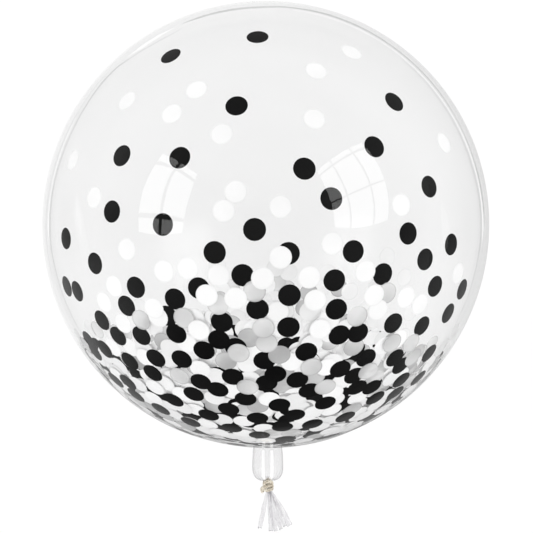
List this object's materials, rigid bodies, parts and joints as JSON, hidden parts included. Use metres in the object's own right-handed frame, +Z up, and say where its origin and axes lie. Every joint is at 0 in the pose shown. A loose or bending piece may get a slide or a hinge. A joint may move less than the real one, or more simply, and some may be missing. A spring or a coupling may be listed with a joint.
{
  "type": "clear bubble balloon",
  "caption": "Clear round film balloon with a tied neck and a fanned film tail, filled with loose round confetti, lying on its side.",
  "frame": {"origin": "middle of the small flat spot under the ball, on the surface that the balloon lies on", "axes": "+Z up from the surface, -Y along the neck from the ball to the tail, +X to the right seen from above with the neck towards the viewer"},
  "size_m": [0.456, 0.5424, 0.4545],
  "materials": {
    "clear_film": "glossy clear plastic film",
    "jute_twine": "natural jute fibre",
    "black_confetti": "satin",
    "white_confetti": "matte",
    "silver_confetti": "metallised foil"
  },
  "bodies": {
    "root": {"film_skin": "clear_film", "twine_tie": "jute_twine"}
  },
  "joints": []
}
